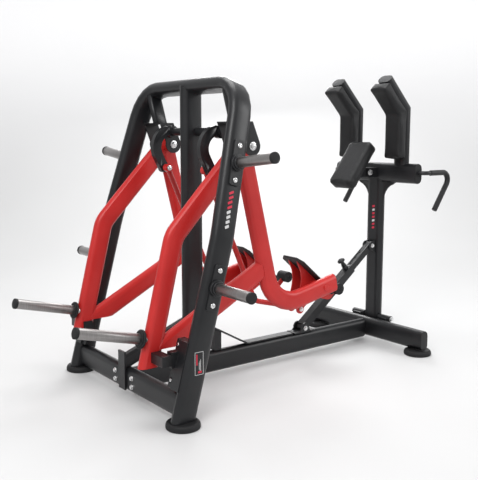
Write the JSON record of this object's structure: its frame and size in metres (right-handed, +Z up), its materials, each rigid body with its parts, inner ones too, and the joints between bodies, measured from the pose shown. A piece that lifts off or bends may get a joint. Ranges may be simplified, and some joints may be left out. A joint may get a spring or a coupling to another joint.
{
  "type": "leg press machine",
  "caption": "Standing leg press with twin plate-loaded swinging arms, parallel-linked foot plates, an A-frame with storage horns and a braced pad tower.",
  "frame": {"origin": "centre of the machine's footprint box, at floor level", "axes": "+X forward from the A-frame to the pad tower, +Y to the left of someone facing forward, +Z up"},
  "size_m": [2.4732, 1.6506, 1.6456],
  "materials": {
    "black_powder_coat": "satin",
    "red_powder_coat": "satin",
    "sleeve_steel": "brushed",
    "zinc_steel": "bright zinc",
    "rubber": "matte",
    "textured_black": "textured non-slip",
    "black_vinyl": "grained vinyl"
  },
  "bodies": {
    "frame": {"hoop": "black_powder_coat", "centre_post": "black_powder_coat", "rear_crossbeam": "black_powder_coat", "front_crossbeam": "black_powder_coat", "base_beam": "black_powder_coat", "rear_brace": "black_powder_coat", "strap": "black_powder_coat", "riser": "black_powder_coat", "link_brackets": "black_powder_coat", "strut_clevis": "black_powder_coat", "tower_hinge": "black_powder_coat", "foot_rear_r": "rubber", "foot_rear_l": "rubber", "foot_front_r": "rubber", "foot_front_l": "rubber", "horn_lower_r": "sleeve_steel", "horn_lower_l": "sleeve_steel", "horn_upper_r": "sleeve_steel", "horn_upper_l": "sleeve_steel", "stop_block_r": "black_powder_coat", "stop_block_l": "black_powder_coat", "clevis_r": "black_powder_coat", "clevis_l": "black_powder_coat", "pivot_pin_r": "zinc_steel", "pivot_pin_l": "zinc_steel"},
    "arm_r": {"arm_hub_r": "red_powder_coat", "arm_rear_r": "red_powder_coat", "arm_front_r": "red_powder_coat", "arm_brace_r": "red_powder_coat", "arm_horn_r": "sleeve_steel", "stop_bar_r": "black_powder_coat"},
    "carriage_r": {"foot_plate_r": "textured_black", "carriage_ribs_r": "red_powder_coat", "toe_roller_r": "rubber"},
    "link_r": {"link_tube_r": "red_powder_coat"},
    "arm_l": {"arm_hub_l": "red_powder_coat", "arm_rear_l": "red_powder_coat", "arm_front_l": "red_powder_coat", "arm_brace_l": "red_powder_coat", "arm_horn_l": "sleeve_steel", "stop_bar_l": "black_powder_coat"},
    "carriage_l": {"foot_plate_l": "textured_black", "carriage_ribs_l": "red_powder_coat", "toe_roller_l": "rubber"},
    "link_l": {"link_tube_l": "red_powder_coat"},
    "tower": {"tower_head": "black_powder_coat", "tower_post": "black_powder_coat", "chest_pad": "black_vinyl", "chest_arm": "black_powder_coat", "shoulder_pad_r": "black_vinyl", "shoulder_pad_l": "black_vinyl", "pad_upright_r": "black_powder_coat", "pad_upright_l": "black_powder_coat", "handle_r": "black_powder_coat", "handle_l": "black_powder_coat", "grip_r": "rubber", "grip_l": "rubber"},
    "strut_outer": {"strut_outer": "black_powder_coat"},
    "strut_inner": {"strut_inner": "black_powder_coat"},
    "pull_pin": {"pull_pin": "rubber"}
  },
  "joints": [
    {"name": "arm_swing_r", "type": "hinge", "parent": "frame", "child": "arm_r", "pos_m": [-0.3354, -0.35, 1.25], "axis": [0, 1, 0], "range_deg": [0, 35]},
    {"name": "carriage_swing_r", "type": "hinge", "parent": "arm_r", "child": "carriage_r", "pos_m": [0.2196, -0.235, 0.486], "axis": [0, 1, 0], "range_deg": [-35, 0]},
    {"name": "link_swing_r", "type": "hinge", "parent": "frame", "child": "link_r", "pos_m": [-0.4274, -0.176, 1.128], "axis": [0, 1, 0], "range_deg": [0, 35]},
    {"name": "arm_swing_l", "type": "hinge", "parent": "frame", "child": "arm_l", "pos_m": [-0.3354, 0.35, 1.25], "axis": [0, 1, 0], "range_deg": [0, 35]},
    {"name": "carriage_swing_l", "type": "hinge", "parent": "arm_l", "child": "carriage_l", "pos_m": [0.2196, 0.235, 0.486], "axis": [0, 1, 0], "range_deg": [-35, 0]},
    {"name": "link_swing_l", "type": "hinge", "parent": "frame", "child": "link_l", "pos_m": [-0.4274, 0.176, 1.128], "axis": [0, 1, 0], "range_deg": [0, 35]},
    {"name": "tower_tilt", "type": "hinge", "parent": "frame", "child": "tower", "pos_m": [0.9946, 0, 0.15], "axis": [0, -1, 0], "range_deg": [0, 8]},
    {"name": "strut_swing", "type": "hinge", "parent": "frame", "child": "strut_outer", "pos_m": [0.3806, 0, 0.166], "axis": [0, -1, 0], "range_deg": [0, 2.63]},
    {"name": "strut_slide", "type": "slide", "parent": "strut_outer", "child": "strut_inner", "axis": [0.7892, 0, 0.6141], "range_m": [-0.056, 0]},
    {"name": "pin_pull", "type": "slide", "parent": "strut_outer", "child": "pull_pin", "axis": [-0.6141, 0, 0.7892], "range_m": [0, 0.01], "stiffness_N_per_m": 900, "springref_m": -0.006}
  ],
  "couplings": [
    {"joint": "carriage_swing_r", "follows": "arm_swing_r", "ratio": -1},
    {"joint": "link_swing_r", "follows": "arm_swing_r", "ratio": 1},
    {"joint": "carriage_swing_l", "follows": "arm_swing_l", "ratio": -1},
    {"joint": "link_swing_l", "follows": "arm_swing_l", "ratio": 1},
    {"joint": "strut_swing", "follows": "tower_tilt", "ratio": 0.32704},
    {"joint": "strut_slide", "follows": "tower_tilt", "m_per_rad": -0.40056}
  ]
}
